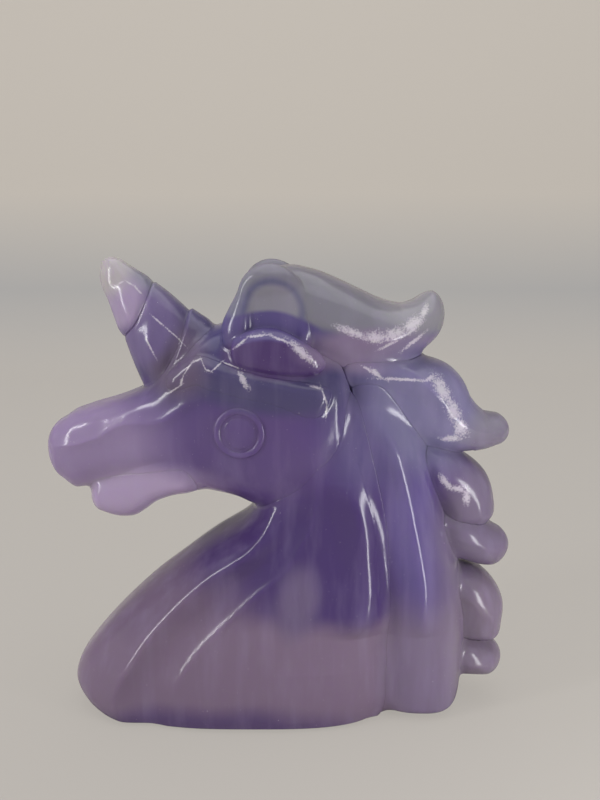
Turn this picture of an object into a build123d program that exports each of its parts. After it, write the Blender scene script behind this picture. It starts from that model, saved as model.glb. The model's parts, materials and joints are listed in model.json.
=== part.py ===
from build123d import *
import os

# Unicorn head and neck carved from one block of banded fluorite and polished.
# The carving is one stone. Each node is one of its carved masses, and the masses
# meet face to face in the grooves that the carver ground between them.
# X runs from the nose (-X) to the mane (+X), Y across the thickness, Z up. The
# origin is the middle of the flat base. The two sides are carved alike, and the
# horse's left side faces -Y. Lengths are millimetres. A table whose name ends in
# shares holds shares of the sizes that are named beside it.

# Bust: chest, shoulders and neck, standing on the flat base.
BUST_LENGTH = 52.0
BUST_HEIGHT = 58.0
BUST_THICKNESS = 26.4

# Strand of mane that falls behind the neck to the base.
FALL_LENGTH = 16.0
FALL_THICKNESS = 20.0

# Head, measured from the middle of the cheek.
HEAD_LENGTH = 48.0
HEAD_DEPTH = 30.0
HEAD_THICKNESS = 22.0

# Lower jaw, from the back of the mouth to the chin.
JAW_LENGTH = 19.0
JAW_DEPTH = 9.2
JAW_THICKNESS = 10.8

# Eye: a domed button seated in a pocket, with a raised ring round it.
EYE_DIAMETER = 5.2
EYE_DEPTH = 1.8
EYE_HEIGHT = 0.9
EYE_EDGE_ROUND = 0.8
EYELID_DIAMETER = 7.2
EYELID_WIRE = 1.1

# Horn, whose two spiral grooves slant across it.
HORN_LENGTH = 17.4
HORN_WIDTH = 14.4
HORN_THICKNESS = 11.0

# Ears, hollowed on the outer face.
EAR_LENGTH = 14.0
EAR_WIDTH = 12.0
EAR_THICKNESS = 6.0
EAR_HOLLOW_LENGTH = 8.0
EAR_HOLLOW_WIDTH = 6.4
EAR_HOLLOW_DEPTH = 1.4

# Curls of the forelock on the side of the head.
UPPER_CURL_LENGTH = 15.4
UPPER_CURL_DEPTH = 6.4
LOWER_CURL_LENGTH = 21.6
LOWER_CURL_DEPTH = 5.6
CURL_THICKNESS = 4.8

# Locks of the mane: the crest, the second lock and the four hanging scallops.
CREST_LENGTH = 31.0
CREST_DEPTH = 13.5
CREST_THICKNESS = 17.8
SECOND_LOCK_LENGTH = 24.5
SECOND_LOCK_DEPTH = 16.0
SECOND_LOCK_THICKNESS = 14.8
SCALLOP_LENGTH = 12.5
SCALLOP_DEPTH = 10.0
SCALLOP_THICKNESS = 12.0

# Places that tie the masses together.
CHEEK_X_SHARE = -0.048
CHEEK_Z_SHARE = 0.836
FALL_X_SHARE = 0.25
CHEEK_X = CHEEK_X_SHARE * BUST_LENGTH
CHEEK_Z = CHEEK_Z_SHARE * BUST_HEIGHT
FALL_X = FALL_X_SHARE * BUST_LENGTH
LEFT = -1
RIGHT = 1


def on_head(along, across, up, side=RIGHT):
    """A place on the head, in shares of its sizes from the middle of the cheek."""
    return Vector(
        CHEEK_X + along * HEAD_LENGTH,
        side * across * HEAD_THICKNESS / 2,
        CHEEK_Z + up * HEAD_DEPTH,
    )


def smooth_section(plane, half):
    """A closed smooth cross section from (along, across) points of one half."""
    other_half = [(along, -across) for along, across in reversed(half[1:-1])]
    with BuildSketch(plane) as section:
        with BuildLine():
            Spline(*half, *other_half, periodic=True)
        make_face()
    return section.sketch


def upright_section(place, bottom, top, reach, shape_shares):
    """A cross section square to X, whose shape gives shares of height and reach."""
    half = [(bottom + up * (top - bottom), out * reach) for up, out in shape_shares]
    return smooth_section(Plane(origin=(place, 0, 0), x_dir=(0, 0, 1), z_dir=(-1, 0, 0)), half)


def strand(start, length, spine_shares, row_shares, depth, thickness, side=RIGHT, point_start=False):
    """Cross sections of a tapering strand that follows a curved spine.

    The spine is in shares of the length. A row holds the share along the spine,
    and the shares of the depth and of the thickness there. The strand closes to a
    point at its end, and at its start too if that is asked for.
    """
    with BuildLine() as path:
        Spline(*[start + Vector(x, side * y, z) * length for x, y, z in spine_shares])
    sections = []
    for along, depth_share, thickness_share in row_shares:
        plane = Plane(origin=path.line @ along, x_dir=(0, 1, 0), z_dir=path.line % along)
        with BuildSketch(plane) as section:
            Ellipse(thickness_share * thickness / 2, depth_share * depth / 2)
        sections.append(section.sketch)
    if point_start:
        sections.insert(0, Vertex(path.line @ 0))
    return [*sections, Vertex(path.line @ 1)]


def lock_sections(start, row_shares, length, depth, thickness):
    """Oval cross sections of a lock, square to X.

    A row holds the place along the lock from its start, the top and the bottom in
    shares of the depth, and the share of the thickness. A row without thickness is
    a point.
    """
    sections = []
    for along, top, bottom, across in row_shares:
        middle = start + Vector(along * length, 0, (top + bottom) * depth / 2)
        if across:
            with BuildSketch(Plane(origin=middle, x_dir=(0, 1, 0), z_dir=(1, 0, 0))) as section:
                Ellipse(across * thickness / 2, (top - bottom) * depth / 2)
            sections.append(section.sketch)
        else:
            sections.append(Vertex(middle))
    return sections


# Head: each row gives the place along the head, the top and the bottom, and the
# share of the thickness.
HEAD_ROW_SHARES = [
    (-0.710, -0.070, -0.235, 0.34),
    (-0.665, 0.015, -0.325, 0.52),
    (-0.580, 0.070, -0.345, 0.60),
    (-0.470, 0.125, -0.335, 0.62),
    (-0.360, 0.220, -0.325, 0.68),
    (-0.260, 0.380, -0.350, 0.80),
    (-0.150, 0.510, -0.415, 0.93),
    (-0.020, 0.545, -0.470, 1.00),
    (0.110, 0.510, -0.430, 0.99),
    (0.205, 0.400, -0.290, 0.86),
    (0.264, 0.260, -0.100, 0.56),
]
HEAD_NOSE_SHARES = (-0.727, 0, -0.150)
HEAD_BACK_SHARES = (0.291, 0, 0.090)
# Half of a head section: height from bottom to top, and reach to the side.
HEAD_SECTION_SHARES = [(1, 0), (0.83, 0.70), (0.58, 0.99), (0.32, 0.98), (0.08, 0.58), (0, 0)]

with BuildPart() as head_form:
    head_sections = [
        upright_section(
            CHEEK_X + along * HEAD_LENGTH,
            CHEEK_Z + bottom * HEAD_DEPTH,
            CHEEK_Z + top * HEAD_DEPTH,
            thickness * HEAD_THICKNESS / 2,
            HEAD_SECTION_SHARES,
        )
        for along, top, bottom, thickness in HEAD_ROW_SHARES
    ]
    loft(
        sections=[
            Vertex(on_head(*HEAD_NOSE_SHARES)),
            *head_sections,
            Vertex(on_head(*HEAD_BACK_SHARES)),
        ]
    )

# Eyes and eyelids stand in pockets of the head, tilted a little to the front.
EYE_PLACE_SHARES = (-0.075, 1.0, -0.005)
EYE_LEAN_SHARE = -0.11


def eye_plane(side):
    """The plane of an eye on the side of the head, facing outwards."""
    return Plane(
        origin=on_head(*EYE_PLACE_SHARES, side),
        x_dir=(1, side * -EYE_LEAN_SHARE, 0),
        z_dir=(EYE_LEAN_SHARE, side, 0),
    )


def carve_eye(side):
    with BuildPart() as eye:
        with BuildSketch(eye_plane(side).offset(-EYE_DEPTH)):
            Circle(EYE_DIAMETER / 2)
        extrude(amount=EYE_DEPTH + EYE_HEIGHT)
        fillet(eye.edges().sort_by(Axis.Y)[-1 if side == RIGHT else 0], EYE_EDGE_ROUND)
    return eye


def carve_eyelid(side):
    with BuildPart(eye_plane(side)) as eyelid:
        Torus(EYELID_DIAMETER / 2, EYELID_WIRE / 2)
    return eyelid


eye_left = carve_eye(LEFT)
eye_right = carve_eye(RIGHT)
eyelid_left = carve_eyelid(LEFT)
eyelid_right = carve_eyelid(RIGHT)

with BuildPart() as head:
    add(head_form.part)
    for inset in (eye_left, eye_right, eyelid_left, eyelid_right):
        add(inset.part, mode=Mode.SUBTRACT)

# Lower jaw: it grows out of the head under the mouth and ends in the chin.
JAW_START_SHARES = (-0.198, 0, -0.210)
JAW_SPINE_SHARES = [(0, 0, 0), (-0.32, 0, -0.12), (-0.66, 0, -0.235), (-1.0, 0, -0.20)]
JAW_ROW_SHARES = [
    (0.0, 0.76, 1.0),
    (0.3, 0.82, 1.0),
    (0.6, 0.98, 1.0),
    (0.8, 0.90, 0.86),
    (0.93, 0.58, 0.58),
]

with BuildPart() as lower_jaw:
    loft(
        sections=strand(
            on_head(*JAW_START_SHARES),
            JAW_LENGTH,
            JAW_SPINE_SHARES,
            JAW_ROW_SHARES,
            JAW_DEPTH,
            JAW_THICKNESS,
        )
    )
    add(head_form.part, mode=Mode.SUBTRACT)

# Bust: each row gives the height, then the places along the length of the front
# edge, the front ridge, the crease, the second ridge, the flank, the neck and the
# rear, and last the share of the thickness.
BUST_ROW_SHARES = [
    (0.000, -0.530, -0.445, -0.385, -0.300, 0.020, 0.238, 0.33, 0.970),
    (0.070, -0.662, -0.525, -0.405, -0.295, 0.040, 0.254, 0.33, 1.000),
    (0.160, -0.630, -0.486, -0.371, -0.265, 0.060, 0.254, 0.34, 1.000),
    (0.270, -0.525, -0.403, -0.302, -0.192, 0.060, 0.271, 0.35, 0.955),
    (0.380, -0.395, -0.285, -0.180, -0.075, 0.080, 0.283, 0.35, 0.920),
    (0.490, -0.235, -0.138, -0.030, 0.055, 0.150, 0.286, 0.35, 0.880),
    (0.610, -0.085, -0.005, 0.045, 0.106, 0.165, 0.277, 0.34, 0.830),
    (0.740, -0.030, 0.035, 0.075, 0.120, 0.165, 0.254, 0.32, 0.760),
    (0.880, 0.000, 0.050, 0.088, 0.130, 0.165, 0.220, 0.27, 0.660),
    (1.000, 0.040, 0.065, 0.090, 0.115, 0.140, 0.168, 0.20, 0.360),
]
# Reach to the side of the ridge, crease, second ridge, flank and neck.
BUST_REACH_SHARES = (0.87, 0.85, 0.95, 0.95, 0.80)


def bust_section(height, front, ridge, crease, second, flank, neck, rear, thickness):
    reach = thickness * BUST_THICKNESS / 2
    half = [(front * BUST_LENGTH, 0)]
    for along, share in zip((ridge, crease, second, flank, neck), BUST_REACH_SHARES):
        half.append((along * BUST_LENGTH, share * reach))
    half.append((rear * BUST_LENGTH, 0))
    return smooth_section(Plane.XY.offset(height * BUST_HEIGHT), half)


with BuildPart() as bust:
    loft(sections=[bust_section(*row) for row in BUST_ROW_SHARES])
    for neighbour in (head_form, lower_jaw):
        add(neighbour.part, mode=Mode.SUBTRACT)

# Strand behind the neck: height, middle, length and thickness.
FALL_ROW_SHARES = [
    (0.000, 0.560, 0.97, 1.00),
    (0.170, 0.570, 1.00, 1.00),
    (0.330, 0.600, 0.97, 0.97),
    (0.470, 0.540, 0.84, 0.94),
    (0.610, 0.430, 0.76, 0.89),
    (0.750, 0.290, 0.74, 0.84),
    (0.880, 0.140, 0.66, 0.74),
    (1.000, 0.000, 0.36, 0.40),
]


def fall_section(height, middle, length, thickness):
    place = Vector(FALL_X + middle * FALL_LENGTH, 0, height * BUST_HEIGHT)
    with BuildSketch(Plane(origin=place)) as section:
        Ellipse(length * FALL_LENGTH / 2, thickness * FALL_THICKNESS / 2)
    return section.sketch


with BuildPart() as mane_fall:
    loft(sections=[fall_section(*row) for row in FALL_ROW_SHARES])
    for neighbour in (head_form, bust):
        add(neighbour.part, mode=Mode.SUBTRACT)

# Horn: its sections lie in the slant of the grooves. A row gives the place up the
# horn, the width and the thickness.
HORN_START_SHARES = (-0.322, 0, 0.365)
HORN_LEAN_SHARES = (-0.578, 0, 0.833)
HORN_SLANT_SHARES = (-0.874, 0, 0.485)
HORN_COLLAR_SHARES = [(-0.42, 0.92, 1.0), (-0.2, 1.08, 1.2), (-0.08, 1.08, 1.14), (0.0, 1.0, 1.0)]
HORN_MIDDLE_SHARES = [(0.0, 0.98, 0.96), (0.12, 0.97, 0.98), (0.28, 0.84, 0.9), (0.42, 0.66, 0.74)]
HORN_POINT_SHARES = [
    (0.42, 0.68, 0.74),
    (0.53, 0.67, 0.72),
    (0.70, 0.52, 0.58),
    (0.85, 0.38, 0.44),
    (0.95, 0.21, 0.26),
]


def up_horn(share):
    """A place on the middle line of the horn, at a share of its length."""
    return on_head(*HORN_START_SHARES) + Vector(HORN_LEAN_SHARES) * (share * HORN_LENGTH)


def horn_section(along, width, thickness):
    plane = Plane(origin=up_horn(along), x_dir=(0, 1, 0), z_dir=HORN_SLANT_SHARES)
    with BuildSketch(plane) as section:
        Ellipse(thickness * HORN_THICKNESS / 2, width * HORN_WIDTH / 2)
    return section.sketch


with BuildPart() as horn_collar:
    loft(sections=[horn_section(*row) for row in HORN_COLLAR_SHARES])
    add(head_form.part, mode=Mode.SUBTRACT)

with BuildPart() as horn_middle:
    loft(sections=[horn_section(*row) for row in HORN_MIDDLE_SHARES])
    add(head_form.part, mode=Mode.SUBTRACT)

with BuildPart() as horn_tip:
    loft(sections=[*[horn_section(*row) for row in HORN_POINT_SHARES], Vertex(up_horn(1))])

# Crest of the mane: place along it, top, bottom and thickness.
CREST_START_SHARES = (0.115, 0, 0.450)
CREST_ROW_SHARES = [
    (-0.25, 0.30, 0.30, 0),
    (-0.225, 0.57, -0.01, 0.37),
    (-0.16, 0.755, -0.27, 0.71),
    (-0.065, 0.795, -0.37, 0.83),
    (0.065, 0.75, -0.44, 0.95),
    (0.23, 0.60, -0.46, 1.00),
    (0.39, 0.425, -0.43, 0.97),
    (0.50, 0.36, -0.345, 0.87),
    (0.60, 0.44, -0.21, 0.71),
    (0.68, 0.49, -0.05, 0.50),
    (0.715, 0.42, 0.08, 0.31),
    (0.733, 0.26, 0.26, 0),
]


def carve_lock(start, row_shares, length, depth, thickness, neighbours):
    with BuildPart() as lock:
        loft(sections=lock_sections(start, row_shares, length, depth, thickness))
        for neighbour in neighbours:
            add(neighbour.part, mode=Mode.SUBTRACT)
    return lock


mane_lock_1 = carve_lock(
    on_head(*CREST_START_SHARES),
    CREST_ROW_SHARES,
    CREST_LENGTH,
    CREST_DEPTH,
    CREST_THICKNESS,
    (head_form, bust, mane_fall),
)

# Ears lean against the crest, and a hollow is ground into the outer face of each.
EAR_START_SHARES = (-0.030, 0.60, 0.400)
EAR_SPINE_SHARES = [(0, 0, 0), (0.05, 0.05, 0.45), (0.14, -0.02, 0.92)]
EAR_ROW_SHARES = [
    (0.0, 0.95, 1.0),
    (0.35, 1.0, 0.95),
    (0.62, 0.80, 0.78),
    (0.82, 0.50, 0.54),
    (0.94, 0.25, 0.30),
]
HOLLOW_START_SHARES = (0.012, 0.66, 0.500)
HOLLOW_SPINE_SHARES = [(0, 0, 0), (0.04, 0, 0.5), (0.10, 0, 1.0)]
HOLLOW_ROW_SHARES = [(0.12, 0.6, 0.6), (0.35, 1.0, 1.0), (0.6, 0.9, 0.9), (0.85, 0.5, 0.5)]


def carve_ear(side):
    hollow_start = on_head(*HOLLOW_START_SHARES, side) + Vector(0, side * EAR_THICKNESS / 2, 0)
    with BuildPart() as ear:
        loft(
            sections=strand(
                on_head(*EAR_START_SHARES, side),
                EAR_LENGTH,
                EAR_SPINE_SHARES,
                EAR_ROW_SHARES,
                EAR_WIDTH,
                EAR_THICKNESS,
                side,
            )
        )
        loft(
            sections=strand(
                hollow_start,
                EAR_HOLLOW_LENGTH,
                HOLLOW_SPINE_SHARES,
                HOLLOW_ROW_SHARES,
                EAR_HOLLOW_WIDTH,
                2 * EAR_HOLLOW_DEPTH,
                point_start=True,
            ),
            mode=Mode.SUBTRACT,
        )
        for neighbour in (head_form, mane_lock_1):
            add(neighbour.part, mode=Mode.SUBTRACT)
    return ear


ear_left = carve_ear(LEFT)
ear_right = carve_ear(RIGHT)

# Curls of the forelock, carved on the side of the head under the ear.
CURL_ROW_SHARES = [
    (0.06, 0.42, 0.5),
    (0.22, 0.82, 0.85),
    (0.5, 1.0, 1.0),
    (0.78, 0.78, 0.8),
    (0.94, 0.38, 0.45),
]
UPPER_CURL_START_SHARES = (-0.100, 0.60, 0.400)
UPPER_CURL_SPINE_SHARES = [(0, 0, 0), (0.48, 0.13, 0.02), (1.0, 0, -0.24)]
LOWER_CURL_START_SHARES = (-0.248, 0.51, 0.284)
LOWER_CURL_SPINE_SHARES = [
    (0, 0, 0),
    (0.25, 0.116, -0.01),
    (0.48, 0.157, -0.06),
    (0.71, 0.171, -0.12),
    (1.0, 0.15, -0.22),
]


def carve_curl(side, start_shares, length, spine_shares, depth, neighbours):
    with BuildPart() as curl:
        loft(
            sections=strand(
                on_head(*start_shares, side),
                length,
                spine_shares,
                CURL_ROW_SHARES,
                depth,
                CURL_THICKNESS,
                side,
                point_start=True,
            )
        )
        for neighbour in neighbours:
            add(neighbour.part, mode=Mode.SUBTRACT)
    return curl


def carve_upper_curl(side, ear):
    return carve_curl(
        side,
        UPPER_CURL_START_SHARES,
        UPPER_CURL_LENGTH,
        UPPER_CURL_SPINE_SHARES,
        UPPER_CURL_DEPTH,
        (head_form, bust, mane_lock_1, ear),
    )


def carve_lower_curl(side, upper_curl):
    return carve_curl(
        side,
        LOWER_CURL_START_SHARES,
        LOWER_CURL_LENGTH,
        LOWER_CURL_SPINE_SHARES,
        LOWER_CURL_DEPTH,
        (head_form, bust, horn_collar, upper_curl),
    )


forelock_upper_left = carve_upper_curl(LEFT, ear_left)
forelock_upper_right = carve_upper_curl(RIGHT, ear_right)
forelock_lower_left = carve_lower_curl(LEFT, forelock_upper_left)
forelock_lower_right = carve_lower_curl(RIGHT, forelock_upper_right)

# Locks behind the neck: each is cut back to the strand and to the lock above it.
# Their rows are like the crest's.
SECOND_LOCK_ROW_SHARES = [
    (0.0, 0.00, -0.34, 0.72),
    (0.08, 0.08, -0.44, 0.93),
    (0.245, 0.065, -0.72, 1.00),
    (0.41, 0.02, -0.87, 0.98),
    (0.53, -0.04, -0.925, 0.94),
    (0.61, -0.145, -0.93, 0.86),
    (0.695, -0.34, -0.93, 0.73),
    (0.775, -0.50, -0.92, 0.62),
    (0.86, -0.55, -0.89, 0.51),
    (0.95, -0.60, -0.82, 0.33),
    (1.0, -0.71, -0.71, 0),
]
# Each scallop starts at a share of the strand's length and of the bust's height.
SCALLOP_SHARES = [
    (
        (0.56, 0.71),
        [
            (-0.04, 0.25, -0.38, 0.68),
            (0.16, 0.40, -0.65, 0.98),
            (0.40, 0.28, -1.00, 1.06),
            (0.64, 0.11, -1.07, 1.08),
            (0.80, -0.04, -1.04, 0.97),
            (0.915, -0.23, -0.97, 0.73),
            (1.02, -0.66, -0.66, 0),
        ],
    ),
    (
        (0.73, 0.58),
        [
            (-0.01, -0.06, -0.68, 0.64),
            (0.19, 0.075, -0.81, 0.95),
            (0.43, -0.01, -0.89, 1.05),
            (0.63, -0.14, -0.96, 0.98),
            (0.79, -0.29, -0.97, 0.86),
            (0.92, -0.41, -0.88, 0.63),
            (1.005, -0.65, -0.65, 0),
        ],
    ),
    (
        (0.72, 0.405),
        [
            (0.12, 0.04, -0.69, 0.77),
            (0.32, 0.08, -1.15, 0.90),
            (0.52, 0.02, -1.27, 1.02),
            (0.68, -0.07, -1.285, 1.05),
            (0.82, -0.22, -1.26, 0.93),
            (0.935, -0.43, -1.12, 0.68),
            (1.005, -0.77, -0.77, 0),
        ],
    ),
    (
        (0.72, 0.236),
        [
            (0.12, -0.23, -0.83, 0.65),
            (0.28, -0.12, -0.90, 0.88),
            (0.52, -0.16, -0.91, 1.02),
            (0.68, -0.24, -0.92, 0.98),
            (0.84, -0.35, -0.90, 0.78),
            (0.95, -0.44, -0.82, 0.50),
            (1.005, -0.64, -0.64, 0),
        ],
    ),
]


def behind_neck(place, height):
    """A place on the strand behind the neck, in shares of its length and height."""
    return Vector(FALL_X + place * FALL_LENGTH, 0, height * BUST_HEIGHT)


mane_lock_2 = carve_lock(
    behind_neck(0, 1),
    SECOND_LOCK_ROW_SHARES,
    SECOND_LOCK_LENGTH,
    SECOND_LOCK_DEPTH,
    SECOND_LOCK_THICKNESS,
    (head_form, bust, mane_fall, mane_lock_1),
)

scallops = []
above = mane_lock_2
for start_shares, row_shares in SCALLOP_SHARES:
    above = carve_lock(
        behind_neck(*start_shares),
        row_shares,
        SCALLOP_LENGTH,
        SCALLOP_DEPTH,
        SCALLOP_THICKNESS,
        (bust, mane_fall, above),
    )
    scallops.append(above)
mane_lock_3, mane_lock_4, mane_lock_5, mane_lock_6 = scallops

pieces = {
    "bust": bust,
    "mane_fall": mane_fall,
    "head": head,
    "lower_jaw": lower_jaw,
    "eye_left": eye_left,
    "eye_right": eye_right,
    "eyelid_left": eyelid_left,
    "eyelid_right": eyelid_right,
    "ear_left": ear_left,
    "ear_right": ear_right,
    "forelock_upper_left": forelock_upper_left,
    "forelock_upper_right": forelock_upper_right,
    "forelock_lower_left": forelock_lower_left,
    "forelock_lower_right": forelock_lower_right,
    "horn_collar": horn_collar,
    "horn_middle": horn_middle,
    "horn_tip": horn_tip,
    "mane_lock_1": mane_lock_1,
    "mane_lock_2": mane_lock_2,
    "mane_lock_3": mane_lock_3,
    "mane_lock_4": mane_lock_4,
    "mane_lock_5": mane_lock_5,
    "mane_lock_6": mane_lock_6,
}
os.makedirs("parts", exist_ok=True)
for name, piece in pieces.items():
    piece.part.label = name
    export_step(piece.part, f"parts/{name}.step")
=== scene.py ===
"""Unicorn figurine in polished fluorite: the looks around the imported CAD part."""

import json
import math

import bpy
import numpy as np
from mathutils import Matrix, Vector

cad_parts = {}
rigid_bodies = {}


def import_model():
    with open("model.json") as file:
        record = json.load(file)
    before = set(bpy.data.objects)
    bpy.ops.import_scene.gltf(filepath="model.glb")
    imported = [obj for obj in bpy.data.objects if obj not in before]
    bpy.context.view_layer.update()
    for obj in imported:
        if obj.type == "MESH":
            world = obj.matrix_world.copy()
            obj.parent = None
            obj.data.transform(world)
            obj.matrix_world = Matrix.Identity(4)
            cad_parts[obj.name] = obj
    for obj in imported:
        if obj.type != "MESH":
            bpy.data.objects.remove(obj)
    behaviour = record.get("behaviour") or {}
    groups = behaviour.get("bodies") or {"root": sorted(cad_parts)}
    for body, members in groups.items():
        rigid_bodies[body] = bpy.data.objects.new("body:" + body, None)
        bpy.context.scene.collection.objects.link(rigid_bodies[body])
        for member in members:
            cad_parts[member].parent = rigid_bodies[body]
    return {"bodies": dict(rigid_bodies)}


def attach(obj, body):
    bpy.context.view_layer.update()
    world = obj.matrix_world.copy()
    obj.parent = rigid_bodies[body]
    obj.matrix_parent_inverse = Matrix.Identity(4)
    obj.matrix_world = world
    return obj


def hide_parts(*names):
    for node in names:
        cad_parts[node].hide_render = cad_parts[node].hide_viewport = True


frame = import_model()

bl_info = {
    "name": "Unicorn figurine",
    "version": (1, 0, 0),
    "blender": (4, 5, 0),
    "location": "3D View > Sidebar > Figurine",
    "description": "Carves a fluorite unicorn head over its CAD solids and sets its studio",
    "category": "Object",
}

MM = 0.001
BODY = frame["bodies"] and sorted(frame["bodies"])[0]
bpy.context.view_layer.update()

LEFT = np.array([1.0, 1.0, 1.0])
RIGHT = np.array([1.0, -1.0, 1.0])
TOWARDS_VIEWER = np.array([0.0, -1.0, 0.0])
UPWARD = np.array([0.0, 0.0, 1.0])
TO_THE_REAR = np.array([1.0, 0.0, 0.0])
# Farther, in mm, than any place on the figurine from any of its surfaces.
FAR_AWAY = 60.0
CREST_ROUNDING = 0.16
# Squareness of a ring that is all but round.
ROUND = 2.1
# Share of a mesh's rings that its two domes get: this at least, or this much of their share of its length.
LEAST_DOME_SHARE, DOME_RINGS = 0.12, 0.6
# Stations that a point's own station is looked for among, and the steps that then bring it nearer.
TRIALS, NEARER = 40, 3
# Seating: y from and to, the number of places tried between, and the step for the normal, in mm.
SEAT_FROM, SEAT_TO, SEAT_TRIALS, SEAT_STEP = -16.0, -4.0, 600, 0.05
# Blending: how near a neighbour has to be, the step that the gradient is measured over, the number of moves
# and the longest of each, in mm, and the least slope, squared, that a move is worked out with.
BLEND_REACH = 2.4
GRADIENT_STEP = 0.02
MOVES = 3
LONGEST_MOVE = 0.6
LEAST_SLOPE = 0.3
# Room round a mass that its field counts in, in softnesses, and the least softness for that.
BOX_ROOM, BOX_SOFTNESS = 2.0, 1.2


# Shapes


class Rail:
    """Smooth columns through given rows.

    Between two rows each column is a cubic piece, and its slope at a row is the slope of the chord between
    that row's neighbours. Past the ends the first `running` columns go on straight, and the others hold.
    """

    def __init__(self, stations, values, running=0):
        self.s = np.asarray(stations, float)
        self.v = np.asarray(values, float)
        gaps = np.diff(self.s)[:, None]
        chord = np.diff(self.v, axis=0) / gaps
        inner = (self.v[2:] - self.v[:-2]) / (self.s[2:] - self.s[:-2])[:, None]
        self.slope = np.vstack([chord[:1], inner, chord[-1:]])
        self.goes_on = np.arange(self.v.shape[1]) < running

    def __call__(self, at):
        s, v, m = self.s, self.v, self.slope
        held = np.clip(at, s[0], s[-1])
        k = np.clip(np.searchsorted(s, held, side="right") - 1, 0, len(s) - 2)
        gap = (s[k + 1] - s[k])[:, None]
        t = (held - s[k])[:, None] / gap
        value = (
            (1 + 2 * t) * (1 - t) ** 2 * v[k]
            + t * (1 - t) ** 2 * gap * m[k]
            + t * t * (3 - 2 * t) * v[k + 1]
            + t * t * (t - 1) * gap * m[k + 1]
        )
        rate = (
            6 * t * (t - 1) * (v[k] - v[k + 1]) / gap
            + (1 - t) * (1 - 3 * t) * m[k]
            + t * (3 * t - 2) * m[k + 1]
        )
        past = (at - held)[:, None]
        return value + past * rate * self.goes_on, rate


def unit(v):
    """A vector, or rows of vectors, at length one."""
    return v / np.linalg.norm(v, axis=-1, keepdims=True)


class Fold:
    """A ridge or groove that runs along a mass: rows of (place along, place across, height, width), in mm.

    Its height over the surface is height x exp(-(sqrt(d^2 + r^2) - r)), where d is the distance from its
    line in widths and r rounds its crest. A negative height is a groove.
    """

    def __init__(self, rows, rounding=CREST_ROUNDING):
        table = np.asarray(rows, float)
        self.rail = Rail(table[:, 0], table[:, 1:])
        self.rounding = rounding

    def height(self, along, across):
        value, rate = self.rail(along)
        reach = value[:, 2] * np.sqrt(1 + rate[:, 0] ** 2)
        d = (across - value[:, 0]) / reach
        r = self.rounding
        return value[:, 1] * np.exp(-(np.sqrt(d * d + r * r) - r))


class Bump:
    """A plateau or hollow: height x exp(-(|a|^p + |b|^p)), with a and b its turned places in half widths."""

    def __init__(self, along, across, half_along, half_across, height, power=4, turn=0.0):
        self.at = along, across
        self.half = half_along, half_across
        self.tall, self.power = height, power
        self.cos, self.sin = math.cos(turn), math.sin(turn)

    def height(self, along, across):
        da, dc = along - self.at[0], across - self.at[1]
        a = np.abs(da * self.cos + dc * self.sin) / self.half[0]
        b = np.abs(dc * self.cos - da * self.sin) / self.half[1]
        return self.tall * np.exp(-(a**self.power + b**self.power))


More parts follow.
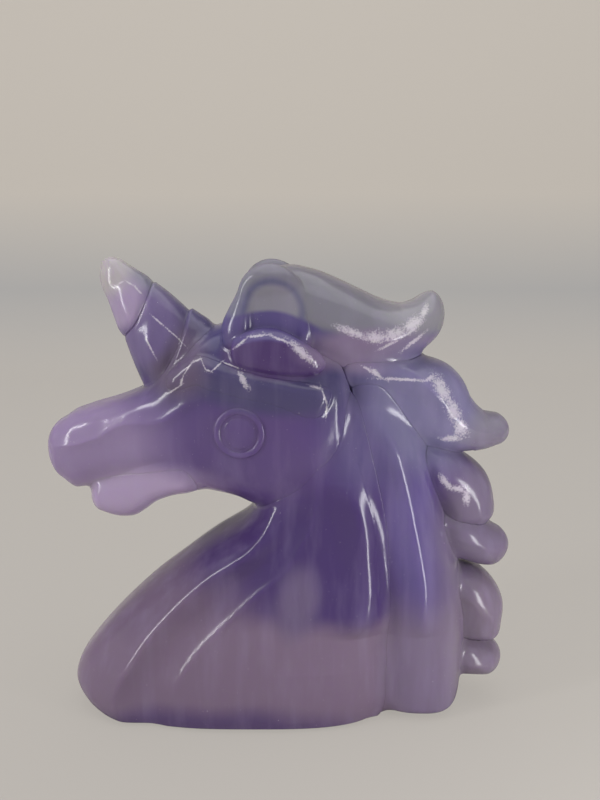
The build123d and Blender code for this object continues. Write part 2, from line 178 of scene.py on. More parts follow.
class Mass:
    """One rounded mass of the carving, in mm.

    Rings stand on a centre line. A ring is a superellipse: (u / reach)^n + (v / side)^n = 1, where u runs
    across the line with its own reach up and down, v runs out to the side, and n is the squareness. At each
    end the rings shrink to a pole as a dome does: scale^m + (depth / length)^m = 1. Folds and bumps raise
    or lower the side. Rows are (x, y, z, up, down, side, squareness), and an eighth number gives the lower
    half its own squareness. The rings are square to the line, or all square to `normal`.
    """

    def __init__(
        self, name, rows, starts, ends, normal=None, facing=TOWARDS_VIEWER, softness=0.8, detail=(),
        one_sided=False, bow=0.0, hand=LEFT, grid=(120, 120), slot="violet_fluorite",
    ):
        table = np.asarray(rows, float)
        if table.shape[1] == 7:
            table = np.hstack([table, table[:, 6:]])
        self.name, self.hand, self.slot = name, hand, slot
        self.softness, self.detail, self.one_sided = softness, detail, one_sided
        self.bow, self.grid, self.facing = bow, grid, facing
        self.fixed = normal is not None
        centres = table[:, :3]
        if self.fixed:
            self.normal = unit(np.asarray(normal, float))
            stations = (centres - centres[0]) @ self.normal
        else:
            steps = np.linalg.norm(np.diff(centres, axis=0), axis=1)
            stations = np.concatenate([[0.0], np.cumsum(steps)])
        self.origin = centres[0]
        self.rail = Rail(stations, table, running=3)
        self.length = stations[-1]
        self.starts, self.ends = starts, ends
        self.trial = np.linspace(0.0, self.length, TRIALS)
        self.trial_centres = self.rail(self.trial)[0][:, :3]
        self.box = None

    def axes(self, rate):
        """Along, up and side, at the stations that gave this rate."""
        along = np.broadcast_to(self.normal, rate[:, :3].shape) if self.fixed else unit(rate[:, :3])
        side = unit(self.facing - (along @ self.facing)[:, None] * along)
        return along, np.cross(side, along), side

    def dome(self, s):
        """Depth into an end's dome in dome lengths, the dome's power and length, and its slope's sign."""
        (l0, m0), (l1, m1) = self.starts, self.ends
        w0 = np.maximum(l0 - s, 0) / l0
        w1 = np.maximum(s - (self.length - l1), 0) / l1
        at_end = w1 > 0
        return (
            np.where(at_end, w1, w0),
            np.where(at_end, m1, m0),
            np.where(at_end, l1, l0),
            np.where(at_end, 1.0, -1.0),
        )

    def relief(self, s, u, v):
        """Height of all folds and bumps here, in mm."""
        total = np.zeros_like(u)
        for one in self.detail:
            total = total + one.height(s, u)
        return np.where(v < 0, 0.0, total) if self.one_sided else total

    def surface(self, s, turn):
        """The point at station s and angle turn, both arrays of one length."""
        row, rate = self.rail(s)
        along, up, side = self.axes(rate)
        w, m, _, _ = self.dome(s)
        scale = np.maximum(1 - np.minimum(w, 1) ** m, 0) ** (1 / m)
        c, t = np.cos(turn), np.sin(turn)
        n = np.where(c > 0, row[:, 6], row[:, 7])
        u = scale * np.where(c > 0, row[:, 3], row[:, 4]) * np.sign(c) * np.abs(c) ** (2 / n)
        v = scale * np.sign(t) * np.abs(t) ** (2 / n)
        v = v * (row[:, 5] + self.relief(s, u, v))
        p = row[:, :3] + u[:, None] * up + v[:, None] * side - (self.bow * v * v)[:, None] * along
        return p * self.hand

    def place(self, p):
        """Station, up and side of a point, with the row, the rate and the centre line's climb there."""
        p = p * self.hand
        if self.fixed:
            v = (p - self.origin) @ TOWARDS_VIEWER
            s = (p - self.origin) @ self.normal + self.bow * v * v
            row, rate = self.rail(s)
        else:
            c = self.trial_centres
            far = (c * c).sum(1)[None, :] - 2 * p @ c.T
            s = self.trial[np.argmin(far, axis=1)]
            for _ in range(NEARER):
                row, rate = self.rail(s)
                away = ((p - row[:, :3]) * rate[:, :3]).sum(1)
                s = s + away / (rate[:, :3] ** 2).sum(1)
            row, rate = self.rail(s)
        along, up, side = self.axes(rate)
        off = p - row[:, :3]
        return s, (off * up).sum(1), (off * side).sum(1), row, rate, (rate[:, :3] * up).sum(1)

    def field(self, p):
        """Rough distance to the surface, below zero inside: (g - 1) over the steepness of g, where g is the
        ring's and dome's own sum of powers."""
        s, u, v, row, rate, shear = self.place(p)
        w, m, l, sign = self.dome(s)
        over = u > 0
        reach = np.where(over, row[:, 3], row[:, 4])
        wide = row[:, 5] + self.relief(s, u, v)
        n = np.where(over, row[:, 6], row[:, 7])
        a, b = np.abs(u) / reach, np.abs(v) / wide
        q = np.maximum((a**n + b**n) ** (1 / n), 1e-6)
        g = (q**m + w**m) ** (1 / m)
        by_u = (a / q) ** (n - 1) / reach
        by_v = (b / q) ** (n - 1) / wide
        swell = a**n * np.where(over, rate[:, 3], rate[:, 4]) / reach + b**n * rate[:, 5] / wide
        by_s = -(q ** (1 - n)) * swell - (np.sign(u) * by_u * shear if self.fixed else 0)
        by_q, by_w = (q / g) ** (m - 1), (w / g) ** (m - 1) / l
        steep = np.sqrt(by_q**2 * (by_u**2 + by_v**2) + (by_q * by_s + sign * by_w) ** 2)
        return (g - 1) / np.maximum(steep, 1e-3)

    def mesh(self):
        """Grid points and faces: rings from pole to pole, closer together where a dome turns in."""
        rings, steps = self.grid
        (l0, _), (l1, _) = self.starts, self.ends
        share = max(LEAST_DOME_SHARE, DOME_RINGS * (l0 + l1) / self.length) / 2
        tip = max(6, int(rings * share))
        angle = np.linspace(0, math.pi / 2, tip + 1)[1:]
        first = l0 * (1 - np.cos(angle))
        last = self.length - l1 * (1 - np.cos(angle[::-1]))
        middle = np.linspace(first[-1], last[0], max(rings - 2 * tip, 4))[1:-1]
        stations = np.concatenate([first, middle, last])
        turns = np.linspace(0, 2 * math.pi, steps, endpoint=False)
        s, t = np.repeat(stations, steps), np.tile(turns, len(stations))
        ends = self.rail(np.array([0.0, self.length]))[0][:, :3] * self.hand
        points = np.vstack([self.surface(s, t), ends])
        i, j = np.meshgrid(np.arange(len(stations) - 1), np.arange(steps), indexing="ij")
        i, j, k = i.ravel(), j.ravel(), ((j + 1) % steps).ravel()
        quads = np.stack([i * steps + j, i * steps + k, (i + 1) * steps + k, (i + 1) * steps + j], 1)
        ring = np.arange(steps)
        after = (ring + 1) % steps
        pole0, pole1 = np.full(steps, len(s)), np.full(steps, len(s) + 1)
        base = (len(stations) - 1) * steps
        fans = np.vstack([np.stack([pole0, after, ring], 1), np.stack([base + ring, base + after, pole1], 1)])
        return points, quads, fans


class Ring:
    """A raised ring on a surface, in mm: an ellipse of half sizes wide and tall, carried round a circle."""

    def __init__(self, name, centre, normal, radius, wide, tall, softness, grid, slot, hand=LEFT):
        self.name, self.hand, self.softness, self.slot, self.grid = name, hand, softness, slot, grid
        self.centre, self.normal = centre, unit(normal)
        self.radius, self.wide, self.tall = radius, wide, tall
        self.first = unit(np.cross(UPWARD, self.normal))
        self.second = np.cross(self.normal, self.first)
        self.box = None

    def field(self, p):
        off = p * self.hand - self.centre
        high = off @ self.normal
        out = np.hypot(off @ self.first, off @ self.second) - self.radius
        q = np.sqrt((out / self.wide) ** 2 + (high / self.tall) ** 2)
        steep = np.sqrt((out / self.wide**2) ** 2 + (high / self.tall**2) ** 2) / np.maximum(q, 1e-6)
        return (q - 1) / np.maximum(steep, 1e-3)

    def mesh(self):
        rings, steps = self.grid
        a, b = np.meshgrid(
            np.linspace(0, 2 * math.pi, rings, endpoint=False),
            np.linspace(0, 2 * math.pi, steps, endpoint=False),
            indexing="ij",
        )
        a, b = a.ravel(), b.ravel()
        out = self.radius + self.wide * np.cos(b)
        p = (
            self.centre
            + (out * np.cos(a))[:, None] * self.first
            + (out * np.sin(a))[:, None] * self.second
            + (self.tall * np.sin(b))[:, None] * self.normal
        )
        i, j = np.meshgrid(np.arange(rings), np.arange(steps), indexing="ij")
        i, j = i.ravel(), j.ravel()
        i1, j1 = (i + 1) % rings, (j + 1) % steps
        quads = np.stack([i * steps + j, i1 * steps + j, i1 * steps + j1, i * steps + j1], 1)
        return p * self.hand, quads, np.zeros((0, 3), int)


def joined(p, masses):
    """Distance to the whole carving: the masses' distances, joined in order by a smooth minimum.

    min(a, b) - k h^2 / 4, with h = (k - |a - b|) / k where that is above zero and k the softness of the
    later mass.
    """
    total = np.full(len(p), FAR_AWAY)
    for mass in masses:
        low, high = mass.box
        near = np.all((p > low) & (p < high), axis=1)
        if not near.any():
            continue
        one, other, k = mass.field(p[near]), total[near], mass.softness
        h = np.maximum(k - np.abs(one - other), 0) / k
        total[near] = np.minimum(one, other) - k * h * h / 4
    return total


def blended(points, mass, masses):
    """Moves a mass's points near its neighbours onto the joined surface.

    A point goes along the joined distance's gradient to the level it should have: zero outside every
    neighbour, and its own depth inside one, so neighbours meet on one soft crease and dive under each other
    behind it.
    """
    others = [m for m in masses if m is not mass]
    nearest = np.full(len(points), FAR_AWAY)
    for other in others:
        low, high = other.box
        near = np.all((points > low) & (points < high), axis=1)
        if near.any():
            nearest[near] = np.minimum(nearest[near], other.field(points[near]))
    moving = np.abs(nearest) < BLEND_REACH
    if not moving.any():
        return points
    p = points[moving].copy()
    level = np.minimum(nearest[moving], 0.0)
    corners = np.array([[1, -1, -1], [-1, -1, 1], [-1, 1, -1], [1, 1, 1]], float)
    for _ in range(MOVES):
        at = [joined(p + GRADIENT_STEP * c, masses) for c in corners]
        gradient = sum(f[:, None] * c for f, c in zip(at, corners)) / (4 * GRADIENT_STEP)
        here = sum(at) / 4
        size = np.maximum((gradient**2).sum(1), LEAST_SLOPE)
        shift = np.clip((here - level) / size, -LONGEST_MOVE, LONGEST_MOVE)
        p = p - shift[:, None] * gradient
    made = points.copy()
    made[moving] = p
    return made


def seat_on(mass, x, z):
    """The place on a mass's left side at this x and z, and its outward normal."""
    y = np.linspace(SEAT_FROM, SEAT_TO, SEAT_TRIALS)
    f = mass.field(np.stack([np.full_like(y, x), y, np.full_like(y, z)], 1))
    here = np.array([x, y[np.argmax(f < 0)], z])
    d = SEAT_STEP * np.eye(3)
    slope = mass.field(here + d) - mass.field(here - d)
    return here, unit(slope)


# The carving's own sizes


def rows_of(place, centre, up, down, t):
    """A mass's rows from its centres and reaches, with the side and squareness columns of t."""
    return np.stack([place, np.zeros(len(t)), centre, up, down, t[:, 4], t[:, 5], t[:, -1]], 1)


def upright(rows):
    """Rows (z, centre x, front x, rear x, side, squareness in front, and behind): a mass whose up is its
    front."""
    t = np.asarray(rows, float)
    return rows_of(t[:, 1], t[:, 0], t[:, 1] - t[:, 2], t[:, 3] - t[:, 1], t)


def lengthwise(rows):
    """Rows (x, centre z, top z, bottom z, side, squareness above, and below): a mass that lies along x."""
    t = np.asarray(rows, float)
    return rows_of(t[:, 0], t[:, 1], t[:, 2] - t[:, 1], t[:, 1] - t[:, 3], t)


def flat(rows):
    """Rows (x, z, up, down, side) on the middle plane, all but round, as a mass's rows."""
    return [(x, 0, z, up, down, side, ROUND) for x, z, up, down, side in rows]


def fold_upright(rows, height, of, rounding=CREST_ROUNDING):
    """A fold on an upright mass: rows (z, x, height share, width), turned to that mass's own up."""
    t = np.asarray(rows, float)
    centre = of.rail(t[:, 0] - of.origin[2])[0][:, 0]
    table = np.stack([t[:, 0] - of.origin[2], centre - t[:, 1], t[:, 2] * height, t[:, 3]], 1)
    return Fold(table, rounding)


def fold_lengthwise(rows, height, of, rounding=CREST_ROUNDING):
    """A fold on a lengthwise mass: rows (x, z, height share, width)."""
    t = np.asarray(rows, float)
    centre = of.rail(t[:, 0] - of.origin[0])[0][:, 2]
    table = np.stack([t[:, 0] - of.origin[0], t[:, 1] - centre, t[:, 2] * height, t[:, 3]], 1)
    return Fold(table, rounding)


# Rows of the masses and of their folds, in mm, set from the photograph. What a row's numbers are stands with
# upright, lengthwise, flat, Mass and Fold.

BUST = (
    (0, -5, -30.3, 16.6, 12.2, 3.3, 3.2), (1.8, -5, -32.8, 17.2, 12.7, 2.9, 3.3),
    (4.2, -5, -34.5, 17.8, 13, 2.5, 3.4), (6.5, -4.8, -34.3, 17.9, 13.1, 2.4, 3.4),
    (9.3, -4.3, -32.8, 18, 13, 2.5, 3.4), (14.8, -2.5, -28.2, 18.2, 12.7, 2.6, 3.4),
    (20.7, 0.3, -22.1, 18.2, 12.2, 2.6, 3.4), (24.8, 2.5, -16.9, 18.2, 11.8, 2.5, 3.4),
    (28.6, 4.3, -11.7, 18.1, 11.4, 2.5, 3.4), (31.8, 5.6, -6.4, 18, 11.1, 2.5, 3.4),
    (34.7, 6.3, -4, 17.7, 10.7, 2.4, 3.3), (40, 6.8, -2.1, 17, 10.1, 2.4, 3.1),
    (46, 7, -1, 15.6, 9.3, 2.3, 2.8), (52, 7, 0.2, 13.6, 8.4, 2.2, 2.4), (57.9, 6.5, 2, 10.4, 5, 2.1, 2.1),
)
FRONT_RIDGE = (
    (0, -25.6, 0.4, 1.7), (3, -26.7, 0.7, 1.7), (5.8, -26.6, 1, 1.7), (11, -23.7, 1.1, 1.8),
    (15.9, -20.4, 1.1, 1.9), (19.5, -17.2, 1.1, 2), (22.8, -14, 1.1, 2), (25.3, -10.9, 1.1, 2),
    (27.3, -7.8, 1.1, 1.9), (28.9, -5.4, 1, 1.8), (30.5, -3.9, 0.9, 1.7), (32.1, -2.8, 0.8, 1.6),
    (35.8, -1.9, 0.6, 1.6), (38, -1.5, 0.4, 1.6),
)
FRONT_FLUTE = (
    (0, -20.9, 0.8, 3), (7.2, -20.5, 0.9, 3.2), (10.1, -19, 1, 3.2), (13.6, -16.6, 1.1, 3.2),
    (18.6, -12, 1.3, 3.2), (23.1, -7.5, 1.3, 3), (26.4, -3.5, 1.3, 2.8), (30.2, 0, 1.2, 2.4),
    (33.4, 1.8, 1, 2.2), (36.9, 2.6, 0.7, 2.2),
)
SECOND_LINE = (
    (3, -18.2, 0.3, 0.9), (7.2, -16.8, 0.8, 0.8), (10.1, -15.1, 1, 0.8), (13.6, -12.7, 1, 0.8),
    (18.6, -7.9, 1, 0.8), (23.1, -3.2, 1, 0.8), (26.4, 0.7, 1, 0.8), (30.2, 3, 1, 0.8),
    (33.4, 4.7, 0.9, 0.8), (36.9, 5.3, 0.6, 0.8),
)
FLANK_HOLLOW = (
    (10, 6, 0, 5), (18, 7, 0.8, 4.2), (28, 8.2, 1.1, 3.2), (34, 8, 1, 2.6), (40, 7.5, 0.4, 2.2),
)
NECK_RIDGE = (
    (15.4, 13.5, 0, 2), (17, 13.1, 0.9, 2.6), (18.6, 13.4, 1.5, 2.6), (22.2, 13.8, 1.35, 2.5),
    (24.6, 13.6, 1.15, 2.2), (27.1, 13.2, 1, 1.9), (30.3, 12.9, 0.85, 1.6), (35.1, 12.1, 0.65, 1.35),
    (38.4, 11, 0.35, 1.2), (40.5, 10.3, 0, 1.2),
)
FALL = (
    (0, 23.6, 14.4, 28.6, 9.1, 2.4, 2.6), (3, 22.6, 14.2, 29.6, 9.7, 2.4, 2.5),
    (10, 22, 14.2, 30.2, 10.1, 2.4, 2.4), (19, 21.2, 14.4, 30.2, 10.1, 2.3, 2.2),
    (27, 20.4, 14.2, 28.4, 9.6, 2.3, 2.2), (35.4, 18.6, 13.2, 26, 9, 2.3, 2.2),
    (43.5, 16.6, 11.4, 23.5, 8.4, 2.2, 2.2), (51, 14.4, 9.8, 20.5, 7.3, 2.2, 2.1),
    (57.5, 13.4, 9.6, 16, 6.6, 2.1, 2.1),
)
FALL_RIDGE = (
    (15.2, 22, 0, 1.3), (17, 22.1, 0.8, 1.3), (18.8, 22.2, 1.1, 1.3), (23.6, 22.2, 1.05, 1.3),
    (26.9, 21.7, 1, 1.3), (30.1, 21.1, 0.95, 1.3), (33.4, 20.4, 0.9, 1.3), (36.6, 19.7, 0.9, 1.5),
    (43.6, 17.9, 0.85, 1.5), (46, 17.1, 0.7, 1.2), (49.8, 15, 0.4, 1.2), (52, 13.9, 0.1, 1.2),
)
HEAD = (
    (-37.38, 44, 47.5, 40.5, 4.7, 2.5, 2.2), (-35, 44, 48.4, 38.8, 5.5, 2.7, 2.3),
    (-33, 44.2, 49.7, 37.25, 6.1, 2.9, 2.3), (-31.3, 44.3, 50.3, 37.5, 6.4, 3, 2.3),
    (-29.5, 44.6, 50.9, 38.2, 6.6, 3.1, 2.3), (-27, 44.9, 51.6, 38.7, 6.8, 3.1, 2.3),
    (-24.1, 45.3, 52.6, 38.7, 7, 3.3, 2.3), (-20, 46, 54.6, 38.2, 7.5, 3.5, 2.3),
    (-16, 47.2, 58.4, 37.6, 8.2, 4.2, 2.4), (-12.5, 48.2, 61.8, 37.2, 9.2, 3.4, 2.5),
    (-9.3, 48.5, 63.6, 36.7, 10.3, 2.5, 2.5), (-6.8, 48.5, 64.5, 36, 10.7, 2.5, 2.5),
    (-4, 48.5, 65, 34.75, 11, 2.5, 2.5), (-1.5, 48.5, 65, 34.2, 11.1, 2.5, 2.5),
    (2, 48.7, 64.5, 34.5, 10.9, 2.4, 2.4), (6, 49.3, 62.5, 36.4, 10.2, 2.3, 2.3),
    (9, 50, 60.5, 39.8, 9.2, 2.2, 2.2), (11.45, 51, 59, 43, 8, 2.2, 2.2),
)
MUZZLE_RIDGE = (
    (-36, 45, 0, 1.2), (-33, 45.5, 0.8, 1.1), (-29.5, 46.4, 1, 1.1), (-27.9, 47, 1, 1.1),
    (-26, 48.2, 1, 1.2), (-24, 49, 1, 1.2), (-21.6, 49.3, 1, 1.3), (-19.3, 49.4, 1.1, 1.2),
    (-17.3, 50.1, 1.3, 1.2), (-15.4, 51.4, 1.2, 1.1), (-13.8, 52.5, 0.9, 1), (-11.5, 53.2, 0, 1.2),
)
MOUTH_GROOVE = (
    (-33, 37.4, 0, 0.8), (-29.5, 38.9, 1, 0.9), (-25.1, 40.4, 1, 0.9), (-21.9, 41.9, 0.9, 0.9),
    (-18.8, 42.8, 0.6, 0.9), (-16, 43.4, 0, 0.9),
)
JAW = (
    (-30.9, 36.2, 39, 33.4, 4.3, 2.4), (-29, 36.4, 39.9, 33.4, 5.1, 2.5),
    (-27, 36.4, 40.7, 32.75, 5.6, 2.5), (-25.2, 36.6, 41.4, 32.5, 5.9, 2.5),
    (-23.3, 37.2, 42.3, 32.8, 6.2, 2.5), (-21.6, 38, 43, 33.9, 6.4, 2.5),
    (-19.9, 38.8, 43.6, 35.2, 6.7, 2.5), (-17.4, 39.8, 44.4, 36.2, 7.2, 2.5),
    (-15, 40.4, 44.8, 36.7, 7.8, 2.5), (-11.5, 41, 45, 36.9, 8.2, 2.5),
)
TOP_LOCK = (
    (-4.7, 66, 71.6, 60, 5, 2.1), (-1.5, 66.4, 72.4, 58, 6.6, 2.2), (1.4, 66.5, 72.75, 57, 7.6, 2.2),
    (3, 66.3, 72.6, 56.4, 8, 2.2), (6.1, 65.5, 71.8, 56, 8.3, 2.2), (9.2, 64.5, 70.5, 55.8, 8.4, 2.2),
    (12.4, 63.5, 69, 55.8, 8.2, 2.2), (15.5, 62.6, 67.6, 56.4, 7.8, 2.2),
    (18.6, 62.4, 66.85, 57.4, 7.1, 2.2), (20.5, 62.8, 67.3, 58.5, 6.5, 2.2),
    (22.3, 63.5, 68.35, 59.7, 5.7, 2.2), (23.7, 64.3, 68.8, 60.8, 4.9, 2.2), (25.6, 65, 68.8, 61.8, 4, 2.2),
)
TOP_LOCK_RIDGE = (
    (2, 66, 0, 2), (6, 65, 0.6, 2), (9, 63.9, 1, 1.9), (12.8, 62.5, 1.1, 1.8), (15.8, 62.2, 1.1, 1.7),
    (18.9, 63, 1, 1.6), (21.9, 64.9, 0.8, 1.4), (24, 66.6, 0.3, 1.2),
)
SECOND_LOCK = (
    (9, 0, 58, 2.4, 3.6, 6.8, 2.2), (13.5, 0, 56.9, 2.7, 4.2, 7.2, 2.2), (18, 0, 55.6, 3.6, 6, 7.2, 2.2),
    (23.3, 0, 52.6, 5.5, 7.6, 6.9, 2.2), (27.3, 0, 48.7, 4.5, 6.2, 6.1, 2.2),
    (31.3, 0, 46.7, 3.2, 3.7, 4.7, 2.2), (34.5, 0, 46.5, 2.7, 2.5, 3.4, 2.1),
    (36.6, 0, 46.6, 2.2, 2, 2.6, 2),
)
SECOND_LOCK_RIDGE = (
    (2, 1, 0, 1.4), (5, 1.4, 0.7, 1.4), (10.3, 2.2, 0.9, 1.4), (15.9, 0.9, 0.9, 1.3), (20, 0.4, 0.2, 1.2),
)
SECOND_LOCK_GROOVE = (
    (3, -2, 0, 2.4), (8, -1.8, -0.6, 2.4), (13, -1.6, -0.7, 2.2), (18, -1.2, 0, 2),
)
# The scalloped locks: name, length of the tip's dome, and rows.
SCALLOPS = (
    ("mane_lock_3", 3.0, (
        (21, 43, 3, 4.5, 4.8), (25.5, 41, 3.4, 5.5, 6), (29.4, 37.4, 4.2, 6, 6.4),
        (30.9, 34.2, 3.7, 6, 6.2), (31.3, 30.6, 3.2, 6, 5.2),
    )),
    ("mane_lock_4", 2.4, (
        (24, 32.5, 2.6, 5, 5), (29.5, 30.3, 3.2, 5.4, 6), (33.6, 27.7, 3, 4, 5.4),
        (37.2, 26.5, 2.6, 2.8, 3.8),
    )),
    ("mane_lock_5", 2.5, (
        (25, 22.6, 2.4, 4, 5), (30.8, 20, 3.6, 6, 6), (32.9, 17, 3.9, 6.5, 6.2), (33.6, 14, 3, 6.5, 5.8),
        (33.6, 10.6, 2.6, 6.5, 4.8),
    )),
    ("mane_lock_6", 2.6, (
        (25.5, 10.5, 2.4, 5, 4.8), (30.5, 8.9, 3.2, 4.6, 5.7), (33.8, 7.6, 2.9, 3.2, 5.3),
        (36.95, 7.2, 2.5, 2.5, 3.8),
    )),
)
SCALLOP_RIDGE = (
    (3, -1.2, 0, 1.2), (6, -0.6, 0.5, 1.2), (9, -0.2, 0.3, 1.2), (12, 0, 0, 1.2),
)
HORN_COLLAR = (
    (-13.4, 52.7, 4.6, 8.6, 6), (-15.4, 55.7, 5.4, 9.2, 6.4), (-16.8, 57.8, 6.6, 8.4, 6.2),
    (-18.2, 59.9, 7.2, 7.4, 5.7),
)
HORN_MIDDLE = (
    (-17.3, 58.45, 7.4, 7.3, 5.5), (-18.4, 60.1, 7.1, 7, 5.4), (-20.25, 62.85, 6.2, 6.2, 5),
    (-22.5, 66.35, 4.8, 4.8, 4.2),
)
HORN_TIP = (
    (-21.8, 65.3, 4.9, 4.9, 4.3), (-23.1, 66.8, 4.75, 4.75, 4.25), (-24.25, 68.45, 4, 4, 3.75),
    (-25.9, 70.8, 2.95, 2.95, 2.9), (-27.7, 73, 2.5, 2.3, 2.2),
)
EAR = (
    (-1.6, -6.9, 59.5, 6.4, 6, 2.6, 2.2), (-1.6, -6.9, 63.5, 7.2, 6.6, 2.9, 2.2),
    (-1.6, -6.7, 67.5, 5.7, 6, 2.8, 2.2), (-1.8, -6.4, 70.5, 4.2, 4.8, 2.4, 2.1),
    (-1.9, -6.1, 73.3, 3.4, 4, 1.9, 2),
)
UPPER_FORELOCK = (
    (-7.2, -8, 60, 1.7, 1.8, 1.6, 2.1), (-4.8, -8.7, 60.4, 2.9, 2.8, 2.1, 2.3),
    (-1.5, -9.1, 60.6, 3.4, 3.4, 2.2, 2.5), (2, -9.1, 59.6, 2.9, 2.8, 2.1, 2.4),
    (4.6, -8.9, 58.8, 2.2, 2, 1.8, 2.2), (6.8, -8.5, 58.2, 1.2, 1.2, 1.2, 2),
)
UPPER_FORELOCK_RIDGE = (
    (0.5, 0.8, 0, 0.6), (3, 1.7, 0.4, 0.6), (7, 2, 0.45, 0.6), (10, 1.4, 0.4, 0.6), (13, 0.6, 0, 0.6),
)
LOWER_FORELOCK = (
    (-17, -6.5, 54.4, 1.2, 1, 1.7, 2.1), (-15, -6.6, 55.8, 1.9, 1.8, 2.1, 2.2),
    (-12.2, -6.8, 56.9, 2.6, 3, 2.4, 2.3), (-9, -7.4, 56.8, 2, 4.2, 2.7, 2.3),
    (-4, -8.2, 55.8, 1.8, 4.6, 2.8, 2.2), (1, -8.6, 54.8, 1.8, 4.4, 2.7, 2.2),
    (4.5, -8.6, 53.8, 2.1, 4.2, 2.6, 2.3), (7.2, -8.2, 52.8, 2.2, 3.4, 2.3, 2.2),
)
HORN_SLANT = np.array([-0.874, 0.0, 0.485])
MOUTH_DEPTH = 0.5
EYE_X, EYE_Z = -6.1, 48.4
EYE_SEAT, EYE_RISE, EYELID_RISE = 0.75, 0.3, 0.05


def bust_masses(sizes):
    ridge, flute = sizes.ridge_height / MM, -sizes.flute_depth / MM
    bust = Mass("bust", upright(BUST), starts=(0.8, 4), ends=(6.0, 2), normal=UPWARD, grid=(320, 340))
    bust.detail = (
        fold_upright(FRONT_RIDGE, ridge, bust, rounding=0.45),
        fold_upright(FRONT_FLUTE, flute, bust, rounding=0.7),
        fold_upright(SECOND_LINE, 0.3 * ridge, bust, rounding=0.3),
        fold_upright(FLANK_HOLLOW, 0.9 * flute, bust, rounding=0.7),
        fold_upright(NECK_RIDGE, ridge, bust, rounding=0.8),
    )
    fall = Mass(
        "mane_fall", upright(FALL), starts=(2.2, 2.6), ends=(3.0, 2), normal=UPWARD, softness=3.0,
        grid=(300, 260),
    )
    fall.detail = (fold_upright(FALL_RIDGE, 0.7 * ridge, fall, rounding=0.9),)
    return [bust, fall]


def head_masses(sizes):
    head = Mass(
        "head", lengthwise(HEAD), starts=(2.2, 2), ends=(3.0, 2), normal=TO_THE_REAR, softness=1.2,
        grid=(300, 250),
    )
    head.detail = (
        fold_lengthwise(MUZZLE_RIDGE, sizes.muzzle_ridge / MM, head),
        fold_lengthwise(MOUTH_GROOVE, -MOUTH_DEPTH, head),
    )
    jaw = Mass(
        "lower_jaw", lengthwise(JAW), starts=(2.2, 2), ends=(4.0, 2), normal=TO_THE_REAR, softness=1.6,
        grid=(140, 120), slot="lilac_fluorite",
    )
    return [head, jaw]


def mane_masses(sizes):
    top = Mass(
        "mane_lock_1", lengthwise(TOP_LOCK), starts=(3.0, 2), ends=(2.4, 2), normal=TO_THE_REAR,
        softness=1.2, grid=(220, 180), slot="clear_fluorite",
    )
    top.detail = (fold_lengthwise(TOP_LOCK_RIDGE, sizes.lock_ridge / MM, top),)
    second = Mass(
        "mane_lock_2", SECOND_LOCK, starts=(2.0, 2), ends=(1.9, 2), softness=2.2,
        detail=(Fold(SECOND_LOCK_RIDGE), Fold(SECOND_LOCK_GROOVE)), grid=(160, 120), slot="lilac_fluorite",
    )
    scallops = [
        Mass(
            name, flat(rows), starts=(2.0, 2), ends=(dome, 2), softness=0.7, detail=(Fold(SCALLOP_RIDGE),),
            grid=(120, 100), slot="lilac_fluorite",
        )
        for name, dome, rows in SCALLOPS
    ]
    return [top, second, *scallops]


def horn_masses(sizes):
    middle_facet = Bump(4.2, 0.4, half_along=2.3, half_across=3.4, height=0.5, turn=0.25)
    tip_facet = Bump(2.8, 1.0, half_along=2.0, half_across=2.6, height=0.4, turn=0.25)
    coils = (
        ("horn_collar", HORN_COLLAR, 2.4, 0.9, (), 1.1, "violet_fluorite"),
        ("horn_middle", HORN_MIDDLE, 1.0, 0.9, (middle_facet,), 0.35, "violet_fluorite"),
        ("horn_tip", HORN_TIP, 0.9, 2.6, (tip_facet,), 0.35, "clear_fluorite"),
    )
    return [
        Mass(
            name, flat(rows), starts=(start, 2), ends=(end, 2), normal=HORN_SLANT, bow=sizes.groove_bow,
            detail=detail, softness=softness, grid=(130, 160), slot=slot,
        )
        for name, rows, start, end, detail, softness, slot in coils
    ]


def side_masses(sizes, hand, suffix, head):
    hollow = -sizes.ear_hollow / MM
    ear = Mass(
        "ear_" + suffix, EAR, starts=(2.0, 2), ends=(3.0, 2), softness=0.7, one_sided=True, hand=hand,
        grid=(150, 150), slot="clear_fluorite",
    )
    ear.detail = (
        Bump(5.8, -0.6, half_along=5.6, half_across=4.6, height=0.55 * hollow, power=8),
        Bump(5.3, -0.7, half_along=4.6, half_across=3.8, height=0.45 * hollow, power=10),
    )
    upper = Mass(
        "forelock_upper_" + suffix, UPPER_FORELOCK, starts=(1.4, 2), ends=(1.6, 2), softness=0.5,
        one_sided=True, detail=(Fold(UPPER_FORELOCK_RIDGE),), hand=hand, grid=(150, 110),
    )
    lower = Mass(
        "forelock_lower_" + suffix, LOWER_FORELOCK, starts=(1.9, 2), ends=(1.6, 2.4), softness=0.7,
        one_sided=True, hand=hand, grid=(190, 110),
    )
    at, normal = seat_on(head, EYE_X, EYE_Z)
    lid = Ring(
        "eyelid_" + suffix, at + EYELID_RISE * normal, normal, sizes.eyelid_radius / MM, wide=0.42,
        tall=0.24, softness=0.4, grid=(140, 32), slot="violet_fluorite", hand=hand,
    )
    reach = sizes.eye_radius / MM
    inner, outer = at - EYE_SEAT * normal, at + EYE_RISE * normal
    eye = Mass(
        "eye_" + suffix,
        [(*place, reach, reach, reach, 2) for place in (inner, (inner + outer) / 2, outer)],
        starts=(0.6, 2), ends=(0.5, 2), facing=UPWARD, softness=0.25, hand=hand, grid=(60, 90),
    )
    return [ear, upper, lower, lid, eye]


_carving = {}


